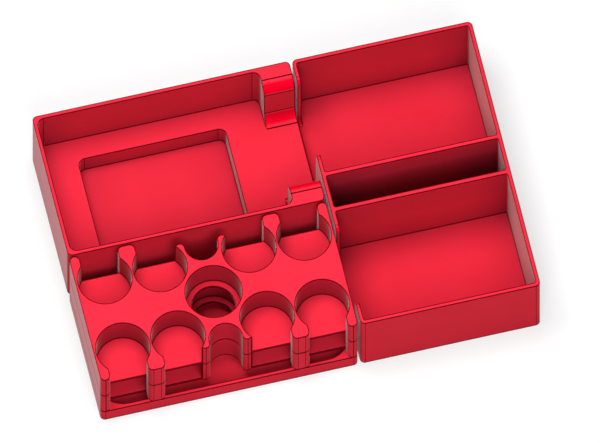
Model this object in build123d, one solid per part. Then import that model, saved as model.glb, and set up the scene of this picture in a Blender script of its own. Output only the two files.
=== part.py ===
from build123d import *
import os

# A board game organizer insert made of five separate trays that fill one rectangular footprint.
# Sizes are millimetres. X runs to the right, Y to the back and Z up.
# The origin is the middle of the footprint at table level.

WIDTH = 237.5
DEPTH = 156.5
HEIGHT = 50.0
LEFT_WIDTH = 139.0        # card tray and token stack
RIGHT_WIDTH = 97.2        # bay tray
TOKEN_DEPTH = 73.2
CARD_DEPTH = 82.3
WALL = 2.2
FLOOR = 1.3
OUTER_CORNER = 2.6

# bay tray
BAY_LENGTH = 64.4         # front and back bay, measured front to back
DIVIDER = 2.45
BAY_CORNER = 1.0
BAY_SHOULDER = 7.75       # flat rim left at each end of a bay's finger opening
BAY_FILLET = 3.7

# card tray
LEDGE_HEIGHT = 15.4
WELL_FLOOR = 2.0
THICK_WALL = 16.9
CARD_CORNER = 3.8
WELL_LEFT = 21.5          # from the tray's left face
WELL_RIGHT = 100.8
WELL_MARGIN = 14.6        # from the tray's front and back faces
WELL_CORNER = 3.8
CARD_SHOULDER = 7.35
CARD_FILLET = 6.7

# token stack
BASE_HEIGHT = 10.0
TOKEN_HEIGHT = 20.0
BASE_RECESS_CORNER = 13.4
POCKET_RADIUS = 14.25
POCKET_X = (24.05, 53.8)  # distance of the pocket centres from the tray's middle
POCKET_Y = 20.4
SLOT_HALF_WIDTH = 10.25
POCKET_FLOOR = 1.5
FLOOR_SETBACK = 6.4       # pocket floors end this far inside the tray's front and back
POST_CORNER = 2.75        # on the posts beside the pockets' slots
CENTRE_RADIUS = 14.9
CENTRE_HOLE_RADIUS = 11.3
NOTCH_RADIUS = 8.8
NOTCH_DEPTH = 17.5
HORN_SETBACK = 5.7        # the horns beside a notch end this far inside the tray's edge

LEFT_X = -WIDTH / 2 + LEFT_WIDTH / 2
RIGHT_X = WIDTH / 2 - RIGHT_WIDTH / 2
TOKEN_Y = -DEPTH / 2 + TOKEN_DEPTH / 2
CARD_Y = DEPTH / 2 - CARD_DEPTH / 2


def rounded_block(x, y, width, depth, bottom, top, corner):
    """Upright block with rounded vertical corners, centred on x and y."""
    outline = Pos(x, y, bottom) * RectangleRounded(width, depth, corner)
    return extrude(outline, top - bottom)


def finger_opening(x, thickness, y, width, bottom, corner):
    """Cutter through a wall that faces left and right, with its two lower corners rounded."""
    height = HEIGHT + 1 - bottom
    profile = Rectangle(width, height)
    profile = fillet(profile.vertices().sort_by(Axis.Y)[:2], corner)
    plane = Plane(origin=(x - thickness / 2 - 1, y, bottom + height / 2), x_dir=(0, 1, 0), z_dir=(1, 0, 0))
    return extrude(plane * profile, thickness + 2)


def rim_edges(solid, x, y, half_width):
    """Edges along X where the sides of a finger opening meet the rim."""
    found = []
    for edge in solid.edges().filter_by(Axis.X):
        middle = edge.center()
        on_side = abs(abs(middle.Y - y) - half_width) < 0.01
        if on_side and abs(middle.Z - HEIGHT) < 0.01 and abs(middle.X - x) < 0.01:
            found.append(edge)
    return found


def bay_tray():
    """Full-depth tray with two card bays and a narrow slot between them."""
    tray = rounded_block(RIGHT_X, 0, RIGHT_WIDTH, DEPTH, 0, HEIGHT, OUTER_CORNER)
    inner_width = RIGHT_WIDTH - 2 * WALL
    bay_y = DEPTH / 2 - WALL - BAY_LENGTH / 2
    slot_length = DEPTH - 2 * WALL - 2 * BAY_LENGTH - 2 * DIVIDER
    tray -= rounded_block(RIGHT_X, 0, inner_width, slot_length, FLOOR, HEIGHT, BAY_CORNER)
    wall_x = RIGHT_X - RIGHT_WIDTH / 2 + WALL / 2
    half_width = BAY_LENGTH / 2 - BAY_SHOULDER - BAY_FILLET
    for y in (-bay_y, bay_y):
        tray -= rounded_block(RIGHT_X, y, inner_width, BAY_LENGTH, FLOOR, HEIGHT, BAY_CORNER)
        tray -= finger_opening(wall_x, WALL, y, 2 * half_width, FLOOR, BAY_FILLET)
    for y in (-bay_y, bay_y):
        tray = fillet(rim_edges(tray, wall_x, y, half_width), BAY_FILLET)
    return tray


def card_tray():
    """Card tray with a ledge, a recessed well and one thick wall that is open in the middle."""
    left = LEFT_X - LEFT_WIDTH / 2
    tray = rounded_block(LEFT_X, CARD_Y, LEFT_WIDTH, CARD_DEPTH, 0, HEIGHT, OUTER_CORNER)
    inner_width = LEFT_WIDTH - WALL - THICK_WALL
    inner_x = left + WALL + inner_width / 2
    tray -= rounded_block(inner_x, CARD_Y, inner_width, CARD_DEPTH - 2 * WALL, LEDGE_HEIGHT, HEIGHT, CARD_CORNER)
    well_x = left + (WELL_LEFT + WELL_RIGHT) / 2
    well_depth = CARD_DEPTH - 2 * WELL_MARGIN
    tray -= rounded_block(well_x, CARD_Y, WELL_RIGHT - WELL_LEFT, well_depth, WELL_FLOOR, LEDGE_HEIGHT, WELL_CORNER)
    wall_x = left + LEFT_WIDTH - THICK_WALL / 2
    half_width = CARD_DEPTH / 2 - CARD_SHOULDER - CARD_FILLET
    tray -= finger_opening(wall_x, THICK_WALL, CARD_Y, 2 * half_width, LEDGE_HEIGHT, CARD_FILLET)
    return fillet(rim_edges(tray, wall_x, CARD_Y, half_width), CARD_FILLET)


def token_plan():
    """Outline of a token tray below its pockets: finger slots, notches and centre hole cut through."""
    half_depth = TOKEN_DEPTH / 2
    slot_end = half_depth - FLOOR_SETBACK
    plan = RectangleRounded(LEFT_WIDTH, TOKEN_DEPTH, OUTER_CORNER)
    outer_slot = 2 * SLOT_HALF_WIDTH
    inner_slot = 2 * (POCKET_X[0] + SLOT_HALF_WIDTH)
    for side in (-1, 1):
        slot_y = side * (half_depth + slot_end) / 2
        for x in (-POCKET_X[1], POCKET_X[1]):
            plan -= Pos(x, slot_y) * Rectangle(outer_slot, FLOOR_SETBACK)
        plan -= Pos(0, slot_y) * Rectangle(inner_slot, FLOOR_SETBACK)
    edge_vertices = [v for v in plan.vertices() if abs(abs(v.Y) - half_depth) < 0.01]
    slot_corners = [v for v in edge_vertices if abs(v.X) < POCKET_X[1] + SLOT_HALF_WIDTH + 0.01]
    plan = fillet(slot_corners, POST_CORNER)

    horn_width = POCKET_X[0] - SLOT_HALF_WIDTH - NOTCH_RADIUS
    horn_radius = horn_width / 2
    horn_x = NOTCH_RADIUS + horn_radius
    horn_y = half_depth - HORN_SETBACK - horn_radius
    notch_y = half_depth - NOTCH_DEPTH + NOTCH_RADIUS
    for side in (-1, 1):
        mouth_depth = slot_end - notch_y + 0.5
        mouth_y = side * (notch_y + mouth_depth / 2)
        plan -= Pos(0, side * notch_y) * Circle(NOTCH_RADIUS)
        plan -= Pos(0, mouth_y) * Rectangle(2 * NOTCH_RADIUS, mouth_depth)
        shoulder = slot_end - horn_y
        for x in (-horn_x, horn_x):
            inner_x = x - horn_radius / 2 if x > 0 else x + horn_radius / 2
            plan -= Pos(inner_x, side * (horn_y + shoulder / 2)) * Rectangle(horn_radius, shoulder)
            plan += Pos(x, side * horn_y) * Circle(horn_radius)
    return plan - Circle(CENTRE_HOLE_RADIUS)


def token_tray(bottom):
    """One layer of the stack: eight round pockets open to the tray's edge and a centre pocket."""
    tray = extrude(Pos(0, 0, bottom) * token_plan(), TOKEN_HEIGHT)
    pockets = Circle(CENTRE_RADIUS)
    for x in POCKET_X:
        for side_x in (-x, x):
            for y in (-POCKET_Y, POCKET_Y):
                pockets += Pos(side_x, y) * Circle(POCKET_RADIUS)
    tray -= extrude(Pos(0, 0, bottom + POCKET_FLOOR) * pockets, TOKEN_HEIGHT - POCKET_FLOOR)
    return Pos(LEFT_X, TOKEN_Y, 0) * tray


def token_base():
    """Shallow base under the two token trays, with a wide recess."""
    base = rounded_block(LEFT_X, TOKEN_Y, LEFT_WIDTH, TOKEN_DEPTH, 0, BASE_HEIGHT, OUTER_CORNER)
    width = LEFT_WIDTH - 2 * WALL
    depth = TOKEN_DEPTH - 2 * WALL
    return base - rounded_block(LEFT_X, TOKEN_Y, width, depth, FLOOR, BASE_HEIGHT, BASE_RECESS_CORNER)


def main():
    os.makedirs("parts", exist_ok=True)
    pieces = {
        "bay_tray": bay_tray(),
        "card_tray": card_tray(),
        "token_base": token_base(),
        "lower_token_tray": token_tray(BASE_HEIGHT),
        "upper_token_tray": token_tray(BASE_HEIGHT + TOKEN_HEIGHT),
    }
    for node, solid in pieces.items():
        export_step(solid, f"parts/{node}.step")


main()
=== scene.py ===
"""Looks of a board game organizer insert: satin red plastic trays on a pale floor."""

import math

import bpy
from bpy.props import FloatProperty, FloatVectorProperty, PointerProperty
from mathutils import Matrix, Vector


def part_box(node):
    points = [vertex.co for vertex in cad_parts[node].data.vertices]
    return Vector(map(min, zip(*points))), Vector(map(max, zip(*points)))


bl_info = {
    "name": "Board Game Organizer Looks",
    "version": (1, 0, 0),
    "blender": (4, 5, 0),
    "location": "View3D > Sidebar > Organizer",
    "description": "Gives the organizer's trays their satin plastic and sets up the stage",
    "category": "Object",
}

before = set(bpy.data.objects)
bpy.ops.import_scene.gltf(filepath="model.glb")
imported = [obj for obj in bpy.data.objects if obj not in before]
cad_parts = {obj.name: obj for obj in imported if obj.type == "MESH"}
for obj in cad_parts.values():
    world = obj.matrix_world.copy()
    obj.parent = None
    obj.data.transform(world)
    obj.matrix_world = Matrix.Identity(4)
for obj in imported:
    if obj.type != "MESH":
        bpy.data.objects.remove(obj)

MILLIMETRE = 0.001
WHITE = (1.0, 1.0, 1.0, 1.0)
BLACK = (0.0, 0.0, 0.0, 1.0)

# Upright bends of the token stack get their thin line only this near to its front and back.
BASE_WALL = 2.1 * MILLIMETRE  # reach of the base's outer corners
POST_DEPTH = 8.5 * MILLIMETRE  # reach of a token tray's posts and horns

# Principled BSDF values that are the same all over the plastic.
PLASTIC = {
    "Specular IOR Level": 0.5,
    "IOR": 1.03,
    "Sheen Weight": 0.30,
    "Sheen Roughness": 0.2,
    "Coat IOR": 1.035,
    "Coat Roughness": 0.3,
}
GRAIN_STRENGTH = 0.5
GRAIN_MIDDLE = 0.27  # usual product of the fine and the patchy noise
PATCH_SIZE = 14 * MILLIMETRE
CLOUD_START, CLOUD_FULL = 0.35, 0.70

# How well a rounded normal agrees with the surface's own where an edge line starts and where it is full.
EDGE_START, EDGE_FULL = 0.990, 0.976
EDGE_SAMPLES = 12
CORNER_SAMPLES = 8

# Lower limit, upper limit and softness of a part of the normal that picks out a kind of face.
RIM_BEND = (0.9930, 0.9988, 0.0008)  # upright part where a level face starts to bend
WALL_BEND = (0.05, 0.11, 0.02)  # upright part where a wall starts to bend
CORNER_BEND = (0.9935, 0.9992, 0.0006)  # larger sideways part where a wall starts to turn a corner
# FILLET picks out the fillets that get the painted shading.
FILLET = (0.35, 0.88, 0.1)  # upright part on the fillets between a rim or floor and a wall
UPRIGHT_LIMIT = 0.02  # upright part below which a face counts as an upright wall

# Where each tray's pattern starts, so that no two trays look alike.
PATTERN_PLACES = {
    "bay_tray": (0.0, 0.0, 0.0),
    "card_tray": (0.31, 0.17, 0.05),
    "token_base": (0.62, 0.41, 0.0),
    "lower_token_tray": (0.12, 0.73, 0.2),
    "upper_token_tray": (0.87, 0.29, 0.4),
}

# Place, target and width of each lamp, in metres.
KEY_LAMP = ((-0.14, 0.10, 1.0), (0.0, 0.0, 0.0), 0.5)
FRONT_LAMP = ((-0.05, -0.82, 1.0), (0.0, 0.0, 0.02), 0.7)
BACK_LAMP = ((0.35, 1.2, 0.35), (0.0, 0.0, 0.02), 0.7)
FLOOR_WIDTH = 6.0
FLOOR_ROUGHNESS = 0.9
NEAREST, FURTHEST = 0.01, 20.0  # what the camera takes in


class OrganizerPlasticSettings(bpy.types.PropertyGroup):
    """Finish of the trays."""

    colour: FloatVectorProperty(
        name="Colour", description="Base colour of the plastic", subtype="COLOR", size=4,
        min=0.0, max=1.0, default=(0.88, 0.027, 0.055, 1.0),
    )
    shade_colour: FloatVectorProperty(
        name="Shade colour", description="Slightly deeper tone in the plastic's cloudy variation",
        subtype="COLOR", size=4, min=0.0, max=1.0, default=(0.84, 0.023, 0.047, 1.0),
    )
    # Painted shading: the fillets take this fuller red, with no white gloss, by which way they face.
    fillet_shading_colour: FloatVectorProperty(
        name="Fillet shading colour", description="Fuller red where a rim or floor bends into a wall",
        subtype="COLOR", size=4, min=0.0, max=1.0, default=(0.92, 0.0, 0.020, 1.0),
    )
    # Painted shade: the near-black tone that inner corners, slots and pockets are darkened towards.
    corner_shade_colour: FloatVectorProperty(
        name="Corner shade colour", description="Tone that inner corners and slots sink towards",
        subtype="COLOR", size=4, min=0.0, max=1.0, default=(0.0, 0.006, 0.022, 1.0),
    )
    edge_colour: FloatVectorProperty(
        name="Edge colour", description="Dark red of the thin line along every crisp edge",
        subtype="COLOR", size=4, min=0.0, max=1.0, default=(0.13, 0.0, 0.004, 1.0),
    )
    edge_width: FloatProperty(
        name="Edge width",
        description="Reach of the rounding that the dark line along an edge is drawn from",
        unit="LENGTH", min=0.0, max=0.005, default=1.15 * MILLIMETRE,
    )
    foot_line: FloatProperty(
        name="Foot line", description="Height of the dark line round the foot of each tray",
        unit="LENGTH", min=0.0, max=0.005, default=0.85 * MILLIMETRE,
    )
    # Painted corner shade: how far it spreads, and how deep it is on floors, pocket floors and walls.
    corner_shade_reach: FloatProperty(
        name="Corner reach", description="How far the deeper tone of inner corners spreads",
        unit="LENGTH", min=0.001, max=0.2, default=25 * MILLIMETRE,
    )
    floor_corner_shade: FloatProperty(
        name="Floor corner shade", description="Depth of that tone on wide floors and ledges",
        min=0.0, max=3.0, default=0.44,
    )
    pocket_corner_shade: FloatProperty(
        name="Pocket corner shade", description="Depth of that tone on the floors of the token pockets",
        min=0.0, max=3.0, default=0.10,
    )
    wall_corner_shade: FloatProperty(
        name="Wall corner shade", description="Depth of that tone on upright walls",
        min=0.0, max=3.0, default=0.60,
    )
    grain_size: FloatProperty(
        name="Grain size", description="Size of the fine moulded grain",
        unit="LENGTH", min=0.0001, max=0.005, default=0.55 * MILLIMETRE,
    )
    grain_depth: FloatProperty(
        name="Grain depth", description="Height of the fine moulded grain",
        unit="LENGTH", min=0.0, max=0.001, default=0.012 * MILLIMETRE,
    )
    cloud_size: FloatProperty(
        name="Cloud size", description="Size of the faint tone changes across a tray",
        unit="LENGTH", min=0.001, max=0.5, default=38 * MILLIMETRE,
    )
    roughness: FloatProperty(
        name="Roughness", description="Middle roughness of the satin surface",
        subtype="FACTOR", min=0.0, max=1.0, default=0.46,
    )
    roughness_change: FloatProperty(
        name="Roughness change", description="How far the roughness wanders from its middle",
        subtype="FACTOR", min=0.0, max=0.5, default=0.05,
    )
    bounce_loss: FloatProperty(
        name="Bounce loss",
        description="Share of the colour that light loses when it bounces between faces",
        subtype="FACTOR", min=0.0, max=1.0, default=0.5,
    )
    film_gloss: FloatProperty(
        name="Film gloss", description="Weight of the faint gloss on faces that are seen edge on",
        subtype="FACTOR", min=0.0, max=1.0, default=0.7,
    )


class OrganizerStageSettings(bpy.types.PropertyGroup):
    """Camera, lamps and floor."""

    camera_azimuth: FloatProperty(
        name="Camera azimuth", description="Turn of the camera round the trays",
        subtype="ANGLE", default=math.radians(-13.497),
    )
    camera_elevation: FloatProperty(
        name="Camera elevation", description="Height of the camera above the horizon",
        subtype="ANGLE", default=math.radians(65.779),
    )
    camera_target: FloatVectorProperty(
        name="Camera target", description="Point in the middle of the picture",
        subtype="TRANSLATION", unit="LENGTH", size=3, default=(0.00693, -0.00210, 0.025),
    )
    camera_distance: FloatProperty(
        name="Camera distance", description="Distance from the target",
        unit="LENGTH", min=0.1, default=1.2,
    )
    picture_width: FloatProperty(
        name="Picture width", description="Width that the parallel camera takes in",
        unit="LENGTH", min=0.01, default=0.3151,
    )
    key_strength: FloatProperty(
        name="Key strength", description="Power of the large lamp above, in watts",
        unit="POWER", min=0.0, default=8.2,
    )
    fill_strength: FloatProperty(
        name="Fill strength", description="Brightness of the surroundings on the trays",
        min=0.0, default=0.05,
    )
    front_strength: FloatProperty(
        name="Front strength", description="Power of the lamp in front, in watts",
        unit="POWER", min=0.0, default=9.3,
    )
    back_strength: FloatProperty(
        name="Back strength", description="Power of the faint lamp behind, in watts",
        unit="POWER", min=0.0, default=2.6,
    )
    floor_shade: FloatProperty(
        name="Floor shade", description="Paleness of the floor",
        subtype="FACTOR", min=0.0, max=1.0, default=0.42,
    )
    floor_lift: FloatProperty(
        name="Floor lift", description="Extra white of the floor as the camera sees it",
        subtype="FACTOR", min=0.0, max=1.0, default=0.60,
    )


class OrganizerSettings(bpy.types.PropertyGroup):
    """Everything that can be changed about the organizer's looks."""

    plastic: PointerProperty(type=OrganizerPlasticSettings)
    stage: PointerProperty(type=OrganizerStageSettings)


def plug(tree, socket, value):
    """Links an input to an output socket, or sets it where a plain value is given."""
    if isinstance(value, bpy.types.NodeSocket):
        tree.links.new(value, socket)
    else:
        socket.default_value = value


def calculate(tree, operation, *values, clamp=False):
    """Result of a sum on sockets and numbers."""
    node = tree.nodes.new("ShaderNodeMath")
    node.operation = operation
    node.use_clamp = clamp
    for socket, value in zip(node.inputs, values):
        plug(tree, socket, value)
    return node.outputs[0]


def mixed(tree, kind, factor, first, second):
    """Mix of two numbers or two colours."""
    node = tree.nodes.new("ShaderNodeMix")
    node.data_type = kind
    for name, value in (("Factor", factor), ("A", first), ("B", second)):
        plug(tree, node.inputs[name], value)
    return node.outputs["Result"]


def ramp(tree, value, start, end, first=0.0, last=1.0, soft=True):
    """Value that goes from first to last while another one goes from start to end."""
    node = tree.nodes.new("ShaderNodeMapRange")
    node.interpolation_type = "SMOOTHSTEP" if soft else "LINEAR"
    plug(tree, node.inputs["Value"], value)
    limits = (("From Min", start), ("From Max", end), ("To Min", first), ("To Max", last))
    for name, limit in limits:
        plug(tree, node.inputs[name], limit)
    return node.outputs["Result"]


def band(tree, value, limits):
    """1 where a value lies between two limits, and a soft fall to 0 outside them."""
    low, high, softness = limits
    rise = ramp(tree, value, low - softness, low)
    fall = ramp(tree, value, high, high + softness, first=1.0, last=0.0)
    return calculate(tree, "MULTIPLY", rise, fall)


def noise(tree, place, scale, detail, roughness=0.5):
    """Cloudy or grainy pattern between 0 and 1."""
    node = tree.nodes.new("ShaderNodeTexNoise")
    values = (("Vector", place), ("Scale", scale), ("Detail", detail), ("Roughness", roughness))
    for name, value in values:
        plug(tree, node.inputs[name], value)
    return node.outputs["Fac"]


def facing(tree):
    """How far a face looks along X, Y and Z, without sign."""
    surface = tree.nodes.new("ShaderNodeNewGeometry")
    size = tree.nodes.new("ShaderNodeVectorMath")
    size.operation = "ABSOLUTE"
    parts = tree.nodes.new("ShaderNodeSeparateXYZ")
    tree.links.new(surface.outputs["Normal"], size.inputs[0])
    tree.links.new(size.outputs["Vector"], parts.inputs["Vector"])
    return parts.outputs


def new_group(name, inputs, outputs):
    """Empty shared node group, with what comes in and what goes out."""
    group = bpy.data.node_groups.new(name, "ShaderNodeTree")
    for direction, sockets in (("INPUT", inputs), ("OUTPUT", outputs)):
        for socket_name, kind in sockets.items():
            group.interface.new_socket(
                name=socket_name, in_out=direction, socket_type="NodeSocket" + kind)
    start, end = group.nodes.new("NodeGroupInput"), group.nodes.new("NodeGroupOutput")
    return group, start.outputs, end.inputs


def edge_line(name):
    """Mask of a thin line along every crisp edge, from how a rounded normal leaves the surface's own."""
    group, start, end = new_group(name, {"Width": "Float"}, {"Line": "Float"})
    rounded = group.nodes.new("ShaderNodeBevel")
    rounded.samples = EDGE_SAMPLES
    surface = group.nodes.new("ShaderNodeNewGeometry")
    agreement = group.nodes.new("ShaderNodeVectorMath")
    agreement.operation = "DOT_PRODUCT"
    plug(group, rounded.inputs["Radius"], start["Width"])
    plug(group, agreement.inputs[0], rounded.outputs["Normal"])
    plug(group, agreement.inputs[1], surface.outputs["Normal"])
    plug(group, end["Line"], ramp(group, agreement.outputs["Value"], EDGE_START, EDGE_FULL))


def corner_shade(name):
    """How open each place is: 1 on free faces, and less in corners and slots.

    Floors and walls each have their own strength. The openness sets the painted shade in corners and
    slots."""
    group, start, end = new_group(
        name, {"Reach": "Float", "Floor strength": "Float", "Wall strength": "Float"},
        {"Openness": "Float"})
    open_sky = group.nodes.new("ShaderNodeAmbientOcclusion")
    open_sky.samples = CORNER_SAMPLES
    open_sky.only_local = True
    plug(group, open_sky.inputs["Distance"], start["Reach"])
    strength = mixed(group, "FLOAT", facing(group)["Z"], start["Wall strength"], start["Floor strength"])
    plug(group, end["Openness"], calculate(group, "POWER", open_sky.outputs["AO"], strength))


def bend(name):
    """Thin lines where a face starts or ends its bend and at the foot, and a mask of the fillets that
    sets their painted shading.
    """
    group, start, end = new_group(
        name, {"Vector": "Vector", "Middle": "Float", "Reach": "Float", "Foot top": "Float"},
        {"Line": "Float", "Fillet": "Float"})
    parts = facing(group)
    level = parts["Z"]
    sideways = calculate(group, "MAXIMUM", parts["X"], parts["Y"])
    upright = calculate(group, "LESS_THAN", level, UPRIGHT_LIMIT)
    place = group.nodes.new("ShaderNodeSeparateXYZ")
    plug(group, place.inputs["Vector"], start["Vector"])
    away = calculate(group, "SUBTRACT", place.outputs["Y"], start["Middle"])
    beyond = calculate(group, "GREATER_THAN", calculate(group, "ABSOLUTE", away), start["Reach"])
    at_foot = calculate(group, "LESS_THAN", place.outputs["Z"], start["Foot top"])
    rim_lines = calculate(
        group, "MAXIMUM", band(group, level, RIM_BEND), band(group, level, WALL_BEND))
    corner_lines = calculate(
        group, "MULTIPLY", band(group, sideways, CORNER_BEND),
        calculate(group, "MULTIPLY", beyond, upright))
    foot_lines = calculate(group, "MULTIPLY", at_foot, upright)
    upright_lines = calculate(group, "MAXIMUM", corner_lines, foot_lines)
    plug(group, end["Line"], calculate(group, "MAXIMUM", rim_lines, upright_lines))
    plug(group, end["Fillet"], band(group, level, FILLET))


def moulded_grain(name):
    """Fine grain as a height, with the roughness that goes with it."""
    group, start, end = new_group(
        name, {"Vector": "Vector", "Size": "Float", "Roughness": "Float", "Roughness change": "Float"},
        {"Height": "Float", "Roughness": "Float"})
    fineness = calculate(group, "DIVIDE", 1.0, start["Size"])
    grain = noise(group, start["Vector"], fineness, detail=3.0, roughness=0.55)
    patches = noise(group, start["Vector"], 1 / PATCH_SIZE, detail=4.0)
    together = calculate(group, "MULTIPLY", grain, patches)
    centred = calculate(group, "SUBTRACT", together, GRAIN_MIDDLE)
    plug(group, end["Height"], grain)
    plug(group, end["Roughness"], calculate(
        group, "MULTIPLY_ADD", centred, start["Roughness change"], start["Roughness"]))


def cloudy_tone(name):
    """Faint large tone changes between two colours."""
    group, start, end = new_group(
        name, {"Vector": "Vector", "Size": "Float", "Light": "Color", "Deep": "Color"},
        {"Colour": "Color"})
    fineness = calculate(group, "DIVIDE", 1.0, start["Size"])
    clouds = noise(group, start["Vector"], fineness, detail=5.0, roughness=0.6)
    amount = ramp(group, clouds, CLOUD_START, CLOUD_FULL, soft=False)
    plug(group, end["Colour"], mixed(group, "RGBA", amount, start["Light"], start["Deep"]))


def placed_group(tree, name, build, values):
    """Puts a shared node group, built on its first use, into a material with its own values."""
    if name not in bpy.data.node_groups:
        build(name)
    node = tree.nodes.new("ShaderNodeGroup")
    node.node_tree = bpy.data.node_groups[name]
    for socket_name, value in values.items():
        plug(tree, node.inputs[socket_name], value)
    return node.outputs


def tray_plastic(node, settings, floor_corner_shade, underside, line_middle, line_reach):
    """Satin red plastic with moulded grain, a faint cloudy tone, dark crisp edges, painted shade in
    corners and slots, and painted shading on the fillets.

    The tray stands at the height of its underside, and a dark line runs round its foot. Upright
    corner lines are kept to places further than line_reach in front of or behind line_middle."""
    material = bpy.data.materials.new(node.replace("_", " ").capitalize() + " plastic")
    material.use_nodes = True
    tree = material.node_tree
    shader = tree.nodes["Principled BSDF"].inputs
    for name, value in PLASTIC.items():
        shader[name].default_value = value
    coordinates = tree.nodes.new("ShaderNodeTexCoord")
    pattern = tree.nodes.new("ShaderNodeMapping")
    plug(tree, pattern.inputs["Vector"], coordinates.outputs["Object"])
    plug(tree, pattern.inputs["Location"], PATTERN_PLACES[node])
    tone = placed_group(tree, "Cloudy tone", cloudy_tone, {
        "Vector": pattern.outputs["Vector"], "Size": settings.cloud_size,
        "Light": settings.colour, "Deep": settings.shade_colour})
    grain = placed_group(tree, "Moulded grain", moulded_grain, {
        "Vector": pattern.outputs["Vector"], "Size": settings.grain_size,
        "Roughness": settings.roughness, "Roughness change": settings.roughness_change})
    # Painted shade: local ambient occlusion gives the openness that darkens corners, slots and pockets.
    depth = placed_group(tree, "Corner shade", corner_shade, {
        "Reach": settings.corner_shade_reach, "Floor strength": floor_corner_shade,
        "Wall strength": settings.wall_corner_shade})
    bends = placed_group(tree, "Bend", bend, {
        "Vector": coordinates.outputs["Object"], "Middle": line_middle, "Reach": line_reach,
        "Foot top": underside + settings.foot_line})
    edge = placed_group(tree, "Edge line", edge_line, {"Width": settings.edge_width})
    lines = calculate(tree, "MAXIMUM", edge["Line"], bends["Line"])
    rays = tree.nodes.new("ShaderNodeLightPath").outputs
    loss = calculate(tree, "MULTIPLY", rays["Is Diffuse Ray"], settings.bounce_loss)
    bump = tree.nodes.new("ShaderNodeBump")
    bump.inputs["Strength"].default_value = GRAIN_STRENGTH
    bump.inputs["Distance"].default_value = settings.grain_depth
    plug(tree, bump.inputs["Height"], grain["Height"])

    # Painted shading: fuller red, with no white gloss, on the fillets, by which way they face.
    colour = mixed(tree, "RGBA", bends["Fillet"], tone["Colour"], settings.fillet_shading_colour)
    # Painted shade: less open places are darkened towards the corner shade colour.
    colour = mixed(tree, "RGBA", depth["Openness"], settings.corner_shade_colour, colour)
    colour = mixed(tree, "RGBA", lines, colour, settings.edge_colour)
    plug(tree, shader["Base Color"], mixed(tree, "RGBA", loss, colour, BLACK))
    plug(tree, shader["Roughness"], grain["Roughness"])
    plug(tree, shader["Normal"], bump.outputs["Normal"])
    plug(tree, shader["Coat Weight"], calculate(
        tree, "SUBTRACT", settings.film_gloss, lines, clamp=True))
    return material


def dress_tray(node, settings, floor_corner_shade, underside, line_middle=0.0, line_reach=0.0):
    """Gives a tray its own plastic in every slot."""
    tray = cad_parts[node]
    tray.data.materials.clear()
    tray.data.materials.append(
        tray_plastic(node, settings, floor_corner_shade, underside, line_middle, line_reach))


class ORGANIZER_OT_bay_tray(bpy.types.Operator):
    """Finish the full-depth tray with its two card bays and narrow slot"""

    bl_idname = "organizer.bay_tray"
    bl_label = "Bay tray"

    def execute(self, context):
        settings = context.scene.organizer.plastic
        dress_tray("bay_tray", settings, settings.floor_corner_shade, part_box("bay_tray")[0].z)
        return {"FINISHED"}


class ORGANIZER_OT_card_tray(bpy.types.Operator):
    """Finish the card tray with its ledge and recessed well"""

    bl_idname = "organizer.card_tray"
    bl_label = "Card tray"

    def execute(self, context):
        settings = context.scene.organizer.plastic
        dress_tray("card_tray", settings, settings.floor_corner_shade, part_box("card_tray")[0].z)
        return {"FINISHED"}


class ORGANIZER_OT_token_stack(bpy.types.Operator):
    """Finish the base and the two token trays that stand on it"""

    bl_idname = "organizer.token_stack"
    bl_label = "Token stack"

    def execute(self, context):
        settings = context.scene.organizer.plastic
        low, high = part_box("upper_token_tray")
        middle, half_depth = (low.y + high.y) / 2, (high.y - low.y) / 2
        insets = {"token_base": BASE_WALL, "lower_token_tray": POST_DEPTH, "upper_token_tray": POST_DEPTH}
        for node, inset in insets.items():
            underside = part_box(node)[0].z
            dress_tray(node, settings, settings.pocket_corner_shade, underside, middle, half_depth - inset)
        return {"FINISHED"}


def bright_to_lens(tree):
    """1 on the rays that show the background: straight to the camera, or by gloss or glass."""
    rays = tree.nodes.new("ShaderNodeLightPath").outputs
    direct = calculate(tree, "MAXIMUM", rays["Is Camera Ray"], rays["Is Glossy Ray"])
    return calculate(tree, "MAXIMUM", direct, rays["Is Transmission Ray"])


def pale_floor(settings):
    """Large pale floor that reads as white and keeps the trays' shadow."""
    bpy.ops.object.select_all(action="DESELECT")
    bpy.ops.mesh.primitive_plane_add(size=FLOOR_WIDTH, location=(0.0, 0.0, 0.0))
    floor = bpy.context.object
    floor.name = "floor"
    material = bpy.data.materials.new("Pale floor")
    material.use_nodes = True
    tree = material.node_tree
    shader = tree.nodes["Principled BSDF"].inputs
    shade = settings.floor_shade
    shader["Base Color"].default_value = (shade, shade, shade, 1.0)
    shader["Roughness"].default_value = FLOOR_ROUGHNESS
    shader["Specular IOR Level"].default_value = 0.0
    shader["Emission Color"].default_value = WHITE
    plug(tree, shader["Emission Strength"], calculate(
        tree, "MULTIPLY", bright_to_lens(tree), settings.floor_lift))
    floor.data.materials.append(material)


def soft_surroundings(settings):
    """White world that lights the trays gently and shows as white."""
    world = bpy.data.worlds.new("Soft surroundings")
    bpy.context.scene.world = world
    world.use_nodes = True
    tree = world.node_tree
    background = tree.nodes["Background"].inputs
    background["Color"].default_value = WHITE
    plug(tree, background["Strength"], ramp(
        tree, bright_to_lens(tree), 0.0, 1.0, first=settings.fill_strength, soft=False))


def studio_lamp(name, place, target, width, power):
    """Square soft lamp that faces a target."""
    bpy.ops.object.select_all(action="DESELECT")
    bpy.ops.object.light_add(type="AREA", location=place)
    lamp = bpy.context.object
    lamp.name = name
    lamp.data.shape = "SQUARE"
    lamp.data.size = width
    lamp.data.energy = power
    lamp.rotation_mode = "QUATERNION"
    lamp.rotation_quaternion = (Vector(target) - Vector(place)).to_track_quat("-Z", "Y")


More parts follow.
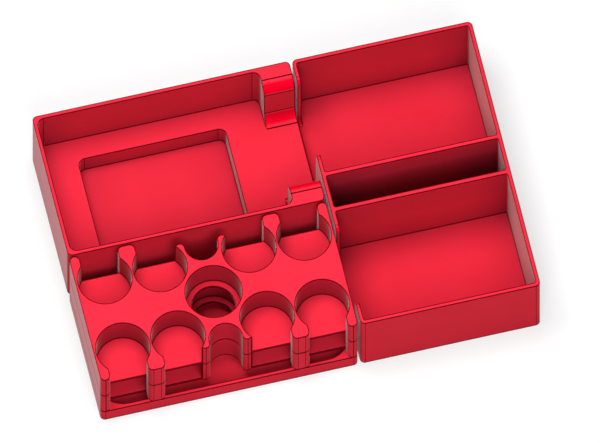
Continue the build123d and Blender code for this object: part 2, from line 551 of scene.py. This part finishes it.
def photo_camera(settings):
    """Parallel camera at the picture's angle and framing."""
    azimuth, elevation = settings.camera_azimuth, settings.camera_elevation
    back = Vector((
        math.sin(azimuth) * math.cos(elevation),
        -math.cos(azimuth) * math.cos(elevation),
        math.sin(elevation),
    ))
    place = Vector(settings.camera_target) + back * settings.camera_distance
    bpy.ops.object.select_all(action="DESELECT")
    bpy.ops.object.camera_add(location=place)
    camera = bpy.context.object
    camera.name = "camera"
    camera.rotation_mode = "QUATERNION"
    camera.rotation_quaternion = (-back).to_track_quat("-Z", "Y")
    camera.data.type = "ORTHO"
    camera.data.ortho_scale = settings.picture_width
    camera.data.clip_start = NEAREST
    camera.data.clip_end = FURTHEST
    bpy.context.scene.camera = camera


class ORGANIZER_OT_stage(bpy.types.Operator):
    """Set up the camera, the soft studio light and the pale floor"""

    bl_idname = "organizer.stage"
    bl_label = "Stage"

    def execute(self, context):
        settings = context.scene.organizer.stage
        photo_camera(settings)
        pale_floor(settings)
        soft_surroundings(settings)
        studio_lamp("key_lamp", *KEY_LAMP, settings.key_strength)
        studio_lamp("front_lamp", *FRONT_LAMP, settings.front_strength)
        studio_lamp("back_lamp", *BACK_LAMP, settings.back_strength)
        context.scene.view_settings.view_transform = "Standard"
        return {"FINISHED"}


class ORGANIZER_PT_looks(bpy.types.Panel):
    """Sidebar panel with the organizer's settings and steps"""

    bl_idname = "ORGANIZER_PT_looks"
    bl_label = "Organizer"
    bl_space_type = "VIEW_3D"
    bl_region_type = "UI"
    bl_category = "Organizer"

    def draw(self, context):
        layout = self.layout
        settings = context.scene.organizer
        for group in (settings.plastic, settings.stage):
            box = layout.box()
            for name in group.bl_rna.properties.keys():
                if name not in ("rna_type", "name"):
                    box.prop(group, name)
        for step in STEPS:
            layout.operator(step.bl_idname)


SETTINGS = (OrganizerPlasticSettings, OrganizerStageSettings, OrganizerSettings)
STEPS = (
    ORGANIZER_OT_stage,
    ORGANIZER_OT_bay_tray,
    ORGANIZER_OT_card_tray,
    ORGANIZER_OT_token_stack,
)
CLASSES = SETTINGS + STEPS + (ORGANIZER_PT_looks,)


def register():
    for cls in CLASSES:
        bpy.utils.register_class(cls)
    bpy.types.Scene.organizer = PointerProperty(type=OrganizerSettings)


def unregister():
    del bpy.types.Scene.organizer
    for cls in reversed(CLASSES):
        bpy.utils.unregister_class(cls)


def main():
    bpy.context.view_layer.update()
    register()
    bpy.ops.organizer.stage()
    bpy.ops.organizer.bay_tray()
    bpy.ops.organizer.card_tray()
    bpy.ops.organizer.token_stack()


if __name__ == "__main__":
    main()
